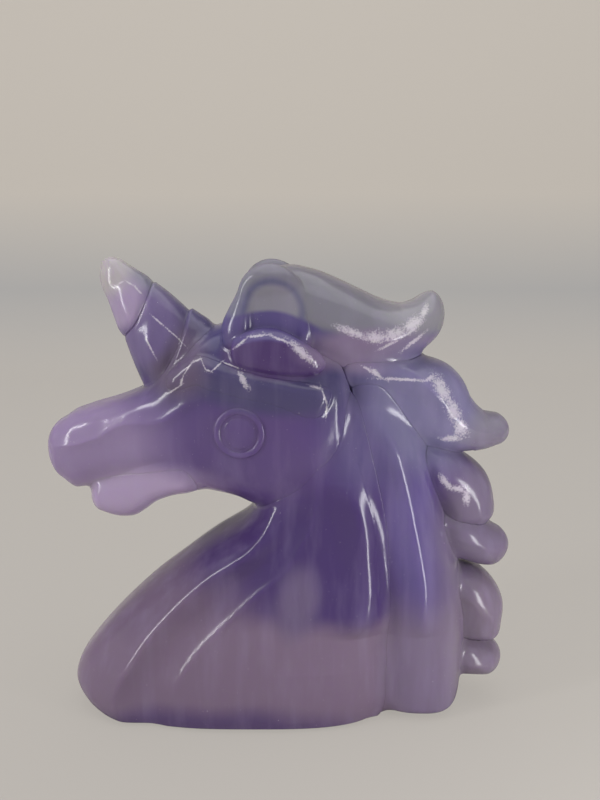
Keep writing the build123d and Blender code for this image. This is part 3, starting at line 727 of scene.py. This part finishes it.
def carving(sizes):
    """Every mass in its joining order, worked out once, with the box that its field counts in."""
    if not _carving:
        masses = bust_masses(sizes) + head_masses(sizes)
        head = masses[2]
        masses += mane_masses(sizes)
        masses += horn_masses(sizes)
        sides = [side_masses(sizes, LEFT, "left", head), side_masses(sizes, RIGHT, "right", head)]
        for pair in zip(*sides):
            masses += list(pair)
        for mass in masses:
            points, quads, fans = mass.mesh()
            mass.raw = points, quads, fans
            room = BOX_ROOM * max(mass.softness, BOX_SOFTNESS)
            mass.box = points.min(0) - room, points.max(0) + room
        _carving["masses"] = masses
    return _carving["masses"]


def make_piece(mass, masses, material):
    """One mass's blended mesh, as an object that stands for the CAD node of its name."""
    points, quads, fans = mass.raw
    points = blended(points, mass, masses)
    points[:, 2] = np.maximum(points[:, 2], 0.0)
    if mass.hand is RIGHT:
        quads, fans = quads[:, ::-1], fans[:, ::-1]
    mesh = bpy.data.meshes.new(mass.name)
    mesh.from_pydata((points * MM).tolist(), [], quads.tolist() + fans.tolist())
    mesh.polygons.foreach_set("use_smooth", np.ones(len(mesh.polygons), bool))
    mesh.materials.append(material)
    mesh.update()
    piece = bpy.data.objects.new(mass.name + "_carved", mesh)
    bpy.context.scene.collection.objects.link(piece)
    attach(piece, BODY)
    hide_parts(mass.name)
    return piece


# Finishes


def linear(hex_colour, alpha=1.0):
    """An sRGB hex colour as the linear red, green, blue and alpha that Blender works in."""
    srgb = np.array([int(hex_colour[i : i + 2], 16) / 255 for i in (1, 3, 5)])
    low = srgb / 12.92
    high = ((srgb + 0.055) / 1.055) ** 2.4
    return (*np.where(srgb <= 0.04045, low, high).tolist(), alpha)


def add(tree, kind, links=None, **settings):
    """Adds one node: settings name its properties and inputs, links say which outputs go to its inputs."""
    node = tree.nodes.new(kind)
    inputs = settings.pop("inputs", {})
    for name, value in settings.items():
        setattr(node, name, value)
    for name, value in inputs.items():
        node.inputs[name].default_value = value
    for name, source in (links or {}).items():
        tree.links.new(source, node.inputs[name])
    return node


def ramp(node, stops):
    """Sets a colour ramp's stops: rows of (place, hex colour)."""
    elements = node.color_ramp.elements
    while len(elements) > 1:
        elements.remove(elements[-1])
    elements[0].position, elements[0].color = stops[0][0], linear(stops[0][1])
    for at, colour in stops[1:]:
        elements.new(at).color = linear(colour)


def new_material(name):
    material = bpy.data.materials.new(name)
    material.use_nodes = True
    material.node_tree.nodes.clear()
    return material, material.node_tree


# The stone's layers above the base colour, from the foot up: place as a share of LAYERS_TALL, and colour.
LAYERS = (
    (0.17, "#665472"), (0.25, "#584570"), (0.34, "#4a3868"), (0.5, "#543e76"), (0.6, "#584480"),
    (0.68, "#48406c"), (0.775, "#4a4474"), (0.81, "#58547e"), (0.825, "#747488"), (0.9, "#82828c"),
    (1, "#8e9090"),
)
LAYERS_TALL = 80.0
# How much the layers fall towards the rear, in mm per mm, and how far the clouds bend them, in mm.
LAYER_FALL, LAYER_BEND = 0.1, 5.0
# Patterns per mm: clouds about 14 mm across, veils 3 mm wide and 20 mm tall, and the polish's grain and
# specks, which are drawn as coarse as they need to be to show, 0.8 and 0.3 mm, where the real ones are
# finer.
CLOUDS, VEILS, GRAIN, SPECKS = 0.07, (0.35, 0.35, 0.05), 1.2, 3.5
VEIL_COLOUR = "#a89cc0"
# Noise values where a veil begins and where it is full.
VEIL_BEGINS, VEIL_FULL = 0.45, 0.8
# A colour mix node's own sockets.
MIX_A, MIX_B, MIX_RESULT = 6, 7, 2
# Noise turns about this value.
MIDDLE = 0.5
# How ragged the clouds make a zone's edge, in half sizes, and how ragged grain and specks make the edge of a
# painted highlight mark, which is partly frosted polish.
ZONE_RAGGED, MARK_BY_GRAIN, MARK_BY_SPECKS = 0.5, 1.2, 2.4
# Distance, in half sizes, where a painted highlight mark begins and where it is full, how opaque it is, and
# the speck values that count as lone specks.
MARK_BEGINS, MARK_FULL, MARK_OPACITY = 1.5, 0.3, 0.68
LONE_SPECKS = 0.71, 0.82
# Half a stroke's length as a share of its line, so that strokes overlap.
STROKE_OVERLAP = 0.55
# A zone or mark goes right through the stone.
THROUGH = FAR_AWAY**2
# Relief of the grain, in mm, and its strength.
GRAIN_RELIEF, GRAIN_STRENGTH = 0.05, 0.12
FLUORITE_IOR = 1.434
# How far red, green and blue light goes into the stone, as shares of the glow depth.
GLOW_BY_COLOUR = (0.9, 0.6, 1.2)
# Clouding by veils, and roughness of the polish, for each slot.
FINISHES = {"violet_fluorite": (0.16, 0.16), "lilac_fluorite": (0.2, 0.18), "clear_fluorite": (0.14, 0.16)}

# Clouds and layers in the stone, and three patches of painted shade, set from the photograph: centre x and z
# and half sizes in mm, turn in degrees about the thickness, softness of the edge, and colour. Each lies over
# the ones before it.
ZONES = (
    (-20, 8, 18, 18, 0, 0.35, "#715f79"),
    (8, 29, 13, 12, 0, 0.4, "#48366a"),
    (4, 4, 44, 13.5, 3, 0.15, "#79677f"),
    (2.6, 21.5, 3, 5, 12, 0.6, "#685a7a"),
    # Darker along the foot: painted shade where the foot turns under.
    (-14, -2, 24, 5.5, -4, 0.35, "#594770"),
    (24, 8, 8, 14, 0, 0.4, "#73657f"),
    (21, 33, 4.5, 13, -8, 0.5, "#5f5286"),
    # Darker behind the cheek at the top of the neck: painted shade.
    (14, 46, 8, 7, 0, 0.5, "#5a4f7c"),
    (-31, 45, 15, 10, 0, 0.5, "#9280a4"),
    (-5, 46, 11, 9, 0, 0.45, "#5d4a7c"),
    (-22, 36.2, 12.5, 5.6, -8, 0.35, "#a997b6"),
    (-2, 55, 12, 3.6, 5, 0.35, "#4c466c"),
    (-16, 58.5, 5, 6, 0, 0.4, "#655872"),
    (-21, 63, 5, 6.5, 35, 0.3, "#70628c"),
    (-24.6, 67, 3.6, 4.2, 35, 0.35, "#a494b2"),
    (-28, 72.5, 5, 4.6, 35, 0.3, "#b2acae"),
    (16, 73, 22, 10.4, 0, 0.07, "#7c7a86"),
    # The ear: this dark ellipse, with the paler one over it, leaves a dark arch round the hollow, painted
    # shade on its upper wall; the pale inside is the stone's clear grey.
    (-1.2, 66, 5, 5.5, 0, 0.15, "#5c5b7e"),
    (-1, 66.4, 4.2, 4.2, 0, 0.15, "#86838f"),
    (-1, 62.6, 7.5, 4, 8, 0.1, "#594e80"),
    (-0.6, 59.4, 8, 3, 5, 0.15, "#4f3a6c"),
    (16, 60, 12, 3.4, 4, 0.3, "#82728f"),
    (22, 67, 6, 4, 0, 0.5, "#8e8c94"),
    (25, 51, 12, 9, 25, 0.35, "#757093"),
    (36, 47, 7, 4.5, 0, 0.5, "#807b8a"),
    (34, 30, 10, 15, 0, 0.35, "#73677f"),
    (35, 12, 9, 13, 0, 0.35, "#776a7d"),
)

# Painted highlights: near-white strokes along ridges, rims, lock bands and the horn's facet edges, partly
# frosted polish on the mane locks. Half width in mm, and the x and z of the points along each, set from the
# photograph.
HIGHLIGHT_AND_FROST_MARKS = (
    (0.5, ((8.9, 64), (12.7, 62.6))),
    (0.8, ((12.7, 62.6), (15.6, 62.5), (18.6, 63.3), (21.2, 65.1))),
    (0.4, ((21.2, 65.1), (22.2, 66.8))),
    (0.22, ((14.9, 60.7), (17.6, 62.1))),
    (0.28, ((18.7, 60.6), (21.6, 62.8))),
    (0.22, ((12.8, 57.8), (15.6, 56.1), (21.9, 55.8), (23.4, 56.4))),
    (0.9, ((23.6, 56), (25.6, 52.6), (27.2, 49.5), (28.3, 46.9))),
    (0.5, ((28, 46.4), (25.3, 46.3))),
    (0.5, ((24.9, 40.4), (26.6, 38.5), (28.9, 38.5), (29.1, 36))),
    (0.16, ((-6.5, 61.3), (-4.6, 62.9), (-1.6, 63.3), (1.8, 62))),
    (0.5, ((1.8, 62), (4.9, 59.2))),
    (0.12, ((-16.9, 53.9), (-14.9, 55.3), (-14.4, 56.9), (-13.1, 58.8), (-11.8, 59.3))),
    (0.11, ((-11.8, 59.3), (-11, 57.9), (-10.2, 57.6), (-8.6, 58.9), (-6.2, 58.2))),
    (0.4, ((-5.9, 57.5), (-4.7, 55.4))),
    (0.14, ((4.5, 55.6), (6.2, 55.1), (7, 52.8), (6.9, 50.6))),
    (0.4, ((13.6, 57.6), (14.8, 56.6))),
    (0.12, ((-24.7, 70), (-23.6, 70.5), (-22.2, 69.7), (-21.1, 68.5))),
    (0.12, ((-19.3, 65.2), (-17.5, 63.7), (-15, 61.4))),
    (0.14, ((-20.6, 62.3), (-19.2, 59.4))),
)


def fluorite(name, looks, clouding, roughness):
    """Fluorite, tumbled to a soft polish: milky layers of violet, indigo and clear grey that run through the
    stone, a waxy glow from light that goes a little way in, and sharp small highlights. Near-white painted
    highlights, partly frosted polish, and a few patches of painted shade are drawn into its colour."""
    material, tree = new_material(name)
    place = add(tree, "ShaderNodeTexCoord").outputs["Object"]
    mm = add(tree, "ShaderNodeVectorMath", {0: place}, operation="SCALE", inputs={"Scale": 1 / MM}).outputs[0]

    def math_of(operation, links, inputs=None):
        return add(tree, "ShaderNodeMath", links, operation=operation, inputs=inputs or {}).outputs[0]

    def noise(at, scale, **inputs):
        inputs["Scale"] = scale
        return add(tree, "ShaderNodeTexNoise", {"Vector": at}, inputs=inputs).outputs["Fac"]

    def sum_of(a, share, b, middle=0.0):
        """a + share x (b - middle)."""
        return math_of("ADD", {0: a, 1: math_of("MULTIPLY_ADD", {0: b}, {1: share, 2: -share * middle})})

    def ranged(value, low, high, top=1.0, curve="LINEAR"):
        """0 at low and beyond, top at high and beyond."""
        inputs = {"From Min": low, "From Max": high, "To Max": top}
        return add(
            tree, "ShaderNodeMapRange", {"Value": value}, interpolation_type=curve, inputs=inputs
        ).outputs["Result"]

    def between(value, low, high):
        return ranged(value, low, high, curve="SMOOTHSTEP")

    def mixed(share, a, b):
        node = add(tree, "ShaderNodeMix", {0: share}, data_type="RGBA")
        tree.links.new(a, node.inputs[MIX_A])
        node.inputs[MIX_B].default_value = linear(b)
        return node.outputs[MIX_RESULT]

    def away_from(x_at, z_at, half_x, half_z, turn):
        """Distance from a place in half sizes: 1 on the ellipse round it."""
        inputs = {
            "Location": (x_at, 0.0, z_at),
            "Rotation": (0.0, math.radians(turn), 0.0),
            "Scale": (half_x, THROUGH, half_z),
        }
        local = add(tree, "ShaderNodeMapping", {"Vector": mm}, vector_type="TEXTURE", inputs=inputs)
        return add(tree, "ShaderNodeVectorMath", {0: local.outputs[0]}, operation="LENGTH").outputs["Value"]

    cloud = noise(mm, CLOUDS, Detail=3.0, Roughness=0.5)
    axes = add(tree, "ShaderNodeSeparateXYZ", {0: mm})
    layer = sum_of(sum_of(axes.outputs["Z"], LAYER_FALL, axes.outputs["X"]), LAYER_BEND, cloud, MIDDLE)
    bands = add(tree, "ShaderNodeValToRGB", {"Fac": ranged(layer, 0.0, LAYERS_TALL)})
    ramp(bands, [(0.0, looks.base_colour_hex), *LAYERS])
    colour = bands.outputs["Color"]
    for *ellipse, softness, shade in ZONES:
        away = sum_of(away_from(*ellipse), ZONE_RAGGED, cloud, MIDDLE)
        colour = mixed(between(away, 1 + softness, 1 - softness), colour, shade)
    stretched = add(tree, "ShaderNodeMapping", {"Vector": mm}, inputs={"Scale": VEILS}).outputs[0]
    veils = noise(stretched, 1.0, Detail=3.0)
    colour = mixed(ranged(veils, VEIL_BEGINS, VEIL_FULL, clouding), colour, VEIL_COLOUR)
    grain = noise(mm, GRAIN, Detail=4.0)
    # Painted highlights: the distance to the nearest near-white stroke, partly frosted polish on the mane
    # locks.
    nearest = None
    for half_width, line in HIGHLIGHT_AND_FROST_MARKS:
        for (x0, z0), (x1, z1) in zip(line, line[1:]):
            half_length = STROKE_OVERLAP * math.hypot(x1 - x0, z1 - z0)
            turn = math.degrees(math.atan2(z0 - z1, x1 - x0))
            away = away_from((x0 + x1) / 2, (z0 + z1) / 2, half_length, half_width, turn)
            nearest = math_of("MINIMUM", {0: nearest, 1: away}) if nearest else away
    specks = noise(mm, SPECKS, Detail=3.0)
    ragged = sum_of(sum_of(nearest, MARK_BY_GRAIN, grain, MIDDLE), MARK_BY_SPECKS, specks, MIDDLE)
    highlight_frost_and_specks = between(ragged, MARK_BEGINS, MARK_FULL)
    highlight_frost_and_specks = math_of("MAXIMUM", {0: highlight_frost_and_specks, 1: between(specks, *LONE_SPECKS)})
    # Mixes in the painted highlights and frost strokes, with the stone's lone specks, in one near-white
    # colour.
    colour = mixed(math_of("MULTIPLY", {0: highlight_frost_and_specks}, {1: MARK_OPACITY}), colour, looks.highlight_and_frost_hex)
    bump = add(
        tree,
        "ShaderNodeBump",
        {"Height": grain},
        inputs={"Strength": GRAIN_STRENGTH, "Distance": GRAIN_RELIEF * MM},
    )
    shader = add(
        tree,
        "ShaderNodeBsdfPrincipled",
        {"Base Color": colour, "Normal": bump.outputs["Normal"]},
        inputs={
            "Roughness": roughness,
            "IOR": FLUORITE_IOR,
            "Subsurface Weight": looks.glow,
            "Subsurface Radius": GLOW_BY_COLOUR,
            "Subsurface Scale": looks.glow_depth,
        },
    )
    add(tree, "ShaderNodeOutputMaterial", {"Surface": shader.outputs[0]})
    return material


_finishes = {}


def finish_of(slot, looks):
    """The slot's material, made once."""
    if slot not in _finishes:
        _finishes[slot] = fluorite(slot + "_polished", looks, *FINISHES[slot])
    return _finishes[slot]


# Settings


class FigurineSizes(bpy.types.PropertyGroup):
    """Sizes of the carving that a user would change."""

    ridge_height: bpy.props.FloatProperty(
        name="Neck ridge height", description="How far the ridges stand off the neck",
        default=1.4 * MM, unit="LENGTH",
    )
    flute_depth: bpy.props.FloatProperty(
        name="Neck flute depth", description="How deep the hollows between them are",
        default=1.3 * MM, unit="LENGTH",
    )
    muzzle_ridge: bpy.props.FloatProperty(
        name="Muzzle ridge height", description="Height of the ridge beside the nose",
        default=0.55 * MM, unit="LENGTH",
    )
    lock_ridge: bpy.props.FloatProperty(
        name="Mane ridge height", description="Height of the ridge along the top lock",
        default=0.7 * MM, unit="LENGTH",
    )
    ear_hollow: bpy.props.FloatProperty(
        name="Ear hollow depth", description="Depth of the hollow in each ear",
        default=1.6 * MM, unit="LENGTH",
    )
    eyelid_radius: bpy.props.FloatProperty(
        name="Eyelid radius", description="Radius of the ring round each eye", default=3.4 * MM, unit="LENGTH"
    )
    eye_radius: bpy.props.FloatProperty(
        name="Eye radius", description="Radius of each eye", default=2.5 * MM, unit="LENGTH"
    )
    groove_bow: bpy.props.FloatProperty(
        name="Horn groove bow", description="How much the horn's grooves bow down at its sides, per mm",
        default=0.05,
    )


class FigurineLooks(bpy.types.PropertyGroup):
    """Finish of the stone and the studio's colours."""

    base_colour_hex: bpy.props.StringProperty(
        name="Base colour", description="Stone at the foot, as an sRGB hex colour", default="#655474"
    )
    # Colour of the painted highlights and frost strokes, and of the lone specks.
    highlight_and_frost_hex: bpy.props.StringProperty(
        name="Frost colour", description="Marks where the polish is thin, as an sRGB hex colour",
        default="#d6d0d8",
    )
    floor_colour_hex: bpy.props.StringProperty(
        name="Floor colour", description="Floor, as an sRGB hex colour", default="#bcb7b1"
    )
    glow: bpy.props.FloatProperty(
        name="Glow", description="Share of light that goes into the stone", default=0.6, subtype="FACTOR"
    )
    glow_depth: bpy.props.FloatProperty(
        name="Glow depth", description="How far that light goes", default=1.2 * MM, unit="LENGTH"
    )


# Operators


def build(names):
    """Makes the pieces of these names."""
    scene = bpy.context.scene
    masses = carving(scene.figurine_sizes)
    wanted = [m for m in masses if m.name in names]
    if len(wanted) != len(names):
        raise RuntimeError("a mass of the carving is missing")
    for mass in wanted:
        make_piece(mass, masses, finish_of(mass.slot, scene.figurine_looks))


def both(name):
    return [name + "_left", name + "_right"]


class FIGURINE_OT_neck(bpy.types.Operator):
    """Carves the bust with its neck ridges, and the fall of the mane behind it"""

    bl_idname = "figurine.neck"
    bl_label = "Bust and neck"

    def execute(self, context):
        build(["bust", "mane_fall"])
        return {"FINISHED"}


class FIGURINE_OT_head(bpy.types.Operator):
    """Carves the head with its muzzle, and the lower jaw"""

    bl_idname = "figurine.head"
    bl_label = "Head and jaw"

    def execute(self, context):
        build(["head", "lower_jaw"])
        return {"FINISHED"}


class FIGURINE_OT_eyes(bpy.types.Operator):
    """Carves the eyes and the rings round them"""

    bl_idname = "figurine.eyes"
    bl_label = "Eyes"

    def execute(self, context):
        build(both("eye") + both("eyelid"))
        return {"FINISHED"}


class FIGURINE_OT_ears(bpy.types.Operator):
    """Carves the hollowed ears"""

    bl_idname = "figurine.ears"
    bl_label = "Ears"

    def execute(self, context):
        build(both("ear"))
        return {"FINISHED"}


class FIGURINE_OT_forelocks(bpy.types.Operator):
    """Carves the two locks of the forelock on each side"""

    bl_idname = "figurine.forelocks"
    bl_label = "Forelocks"

    def execute(self, context):
        build(both("forelock_upper") + both("forelock_lower"))
        return {"FINISHED"}


class FIGURINE_OT_horn(bpy.types.Operator):
    """Carves the horn's collar and its two coils"""

    bl_idname = "figurine.horn"
    bl_label = "Horn"

    def execute(self, context):
        build(["horn_collar", "horn_middle", "horn_tip"])
        return {"FINISHED"}


class FIGURINE_OT_mane(bpy.types.Operator):
    """Carves the six locks of the mane"""

    bl_idname = "figurine.mane"
    bl_label = "Mane locks"

    def execute(self, context):
        build(["mane_lock_%d" % n for n in range(1, 7)])
        return {"FINISHED"}


# The stage, in metres and watts. A sweep of paper lies under the figurine and bends up behind it.
SWEEP_FRONT, SWEEP_BACK, SWEEP_BEND, SWEEP_TALL, SWEEP_HALF = -1.2, 0.30, 0.10, 0.9, 1.6
# Shades of the paper above the floor's, by height as a share of PAPER_SPAN.
PAPER_SHADES = ((0.12, "#aeacaa"), (0.3, "#c6bfb6"), (0.5, "#c8c1b8"), (1.0, "#cbc4bb"))
PAPER_SPAN = 0.3
PAPER_ROUGHNESS = 0.85
# Share of the paper's colour that the camera sees as even light.
PAPER_EVEN = 0.75
# Name, place, aim, size and power of each softbox.
SOFTBOXES = (
    ("left_window", (-0.345, -0.185, 0.175), (0, 0, 0.04), (0.05, 0.34), 0.8),
    ("right_card", (0.075, -0.065, 0.033), (0.015, -0.012, 0.03), (0.016, 0.062), 0.042),
    ("top_softbox", (0.03, 0.02, 0.42), (0, 0, 0.03), (0.45, 0.45), 0.8),
)
AIR_COLOUR, AIR_STRENGTH = "#e8e6e4", 0.6
CAMERA_PLACE, CAMERA_DOWN = (0.003, -0.1409, 0.0812), 12
SENSOR_WIDTH, LENS = 36.0, 54.0


def softbox(name, place, aim, size, power):
    """A rectangular lamp at a place, aimed at a point."""
    data = bpy.data.lights.new(name, "AREA")
    data.shape, data.size, data.size_y = "RECTANGLE", *size
    data.energy = power
    light = bpy.data.objects.new(name, data)
    light.location = place
    light.rotation_euler = (Vector(place) - Vector(aim)).to_track_quat("Z", "Y").to_euler()
    bpy.context.scene.collection.objects.link(light)


def studio_paper(looks):
    """Matt studio paper, rolled: no grain that shows at this distance. Towards the camera it is partly even
    light, so that shadows stay as faint on it as in the photograph."""
    material, tree = new_material("studio_paper")
    place = add(tree, "ShaderNodeTexCoord").outputs["Object"]
    height = add(tree, "ShaderNodeSeparateXYZ", {0: place}).outputs["Z"]
    span = {"From Min": 0.0, "From Max": PAPER_SPAN}
    share = add(tree, "ShaderNodeMapRange", {"Value": height}, inputs=span)
    shade = add(tree, "ShaderNodeValToRGB", {"Fac": share.outputs["Result"]})
    ramp(shade, [(0.0, looks.floor_colour_hex), *PAPER_SHADES])
    colour = {"Base Color": shade.outputs["Color"]}
    paper = add(tree, "ShaderNodeBsdfPrincipled", colour, inputs={"Roughness": PAPER_ROUGHNESS})
    evenly_lit = add(tree, "ShaderNodeEmission", {"Color": shade.outputs["Color"]})
    camera_ray = add(tree, "ShaderNodeLightPath").outputs["Is Camera Ray"]
    seen = add(tree, "ShaderNodeMath", {0: camera_ray}, operation="MULTIPLY", inputs={1: PAPER_EVEN})
    parts = {0: seen.outputs[0], 1: paper.outputs[0], 2: evenly_lit.outputs[0]}
    shader = add(tree, "ShaderNodeMixShader", parts)
    add(tree, "ShaderNodeOutputMaterial", {"Surface": shader.outputs[0]})
    return material


def studio_sweep(material):
    """Paper that goes back level, bends up a quarter circle, and goes on upright."""
    angle = np.linspace(0, math.pi / 2, 24)
    y = np.concatenate([[SWEEP_FRONT], SWEEP_BACK + SWEEP_BEND * np.sin(angle), [SWEEP_BACK + SWEEP_BEND]])
    z = np.concatenate([[0.0], SWEEP_BEND * (1 - np.cos(angle)), [SWEEP_TALL]])
    n = len(y)
    points = np.stack([np.repeat([-SWEEP_HALF, SWEEP_HALF], n), np.tile(y, 2), np.tile(z, 2)], 1)
    k = np.arange(n - 1)
    mesh = bpy.data.meshes.new("sweep")
    mesh.from_pydata(points.tolist(), [], np.stack([k, k + n, k + n + 1, k + 1], 1).tolist())
    mesh.polygons.foreach_set("use_smooth", np.ones(len(mesh.polygons), bool))
    mesh.materials.append(material)
    sweep = bpy.data.objects.new("studio_sweep", mesh)
    bpy.context.scene.collection.objects.link(sweep)
    return sweep


class FIGURINE_OT_stage(bpy.types.Operator):
    """Sets the floor and backdrop, the softboxes, the world and the camera"""

    bl_idname = "figurine.stage"
    bl_label = "Stage"

    def execute(self, context):
        scene = context.scene
        sweep = studio_sweep(studio_paper(scene.figurine_looks))
        for row in SOFTBOXES:
            softbox(*row)

        world = bpy.data.worlds.new("studio_air")
        world.use_nodes = True
        air = world.node_tree.nodes["Background"].inputs
        air["Color"].default_value, air["Strength"].default_value = linear(AIR_COLOUR), AIR_STRENGTH
        scene.world = world

        data = bpy.data.cameras.new("camera")
        data.sensor_fit = "HORIZONTAL"
        data.sensor_width, data.lens = SENSOR_WIDTH, LENS
        data.clip_start, data.clip_end = 0.01, 5.0
        camera = bpy.data.objects.new("camera", data)
        camera.location = CAMERA_PLACE
        camera.rotation_euler = (math.radians(90 - CAMERA_DOWN), 0, 0)
        scene.collection.objects.link(camera)
        scene.camera = camera
        scene.view_settings.view_transform = "Standard"
        return {"FINISHED"}


class FIGURINE_PT_panel(bpy.types.Panel):
    """Lists the carving's steps and its sizes"""

    bl_idname = "FIGURINE_PT_panel"
    bl_label = "Unicorn figurine"
    bl_space_type = "VIEW_3D"
    bl_region_type = "UI"
    bl_category = "Figurine"

    def draw(self, context):
        for operator in OPERATORS:
            self.layout.operator(operator.bl_idname)
        for group in (context.scene.figurine_sizes, context.scene.figurine_looks):
            for name in group.bl_rna.properties.keys():
                if name not in ("rna_type", "name"):
                    self.layout.prop(group, name)


OPERATORS = (
    FIGURINE_OT_neck,
    FIGURINE_OT_head,
    FIGURINE_OT_eyes,
    FIGURINE_OT_ears,
    FIGURINE_OT_forelocks,
    FIGURINE_OT_horn,
    FIGURINE_OT_mane,
    FIGURINE_OT_stage,
)
CLASSES = (FigurineSizes, FigurineLooks, *OPERATORS, FIGURINE_PT_panel)


def register():
    for one in CLASSES:
        bpy.utils.register_class(one)
    bpy.types.Scene.figurine_sizes = bpy.props.PointerProperty(type=FigurineSizes)
    bpy.types.Scene.figurine_looks = bpy.props.PointerProperty(type=FigurineLooks)


def unregister():
    del bpy.types.Scene.figurine_sizes
    del bpy.types.Scene.figurine_looks
    for one in reversed(CLASSES):
        bpy.utils.unregister_class(one)


def main():
    """Registers the classes, carves each piece and sets the stage."""
    register()
    bpy.ops.figurine.neck()
    bpy.ops.figurine.head()
    bpy.ops.figurine.eyes()
    bpy.ops.figurine.ears()
    bpy.ops.figurine.forelocks()
    bpy.ops.figurine.horn()
    bpy.ops.figurine.mane()
    bpy.ops.figurine.stage()
    bpy.context.view_layer.update()


if __name__ == "__main__":
    main()
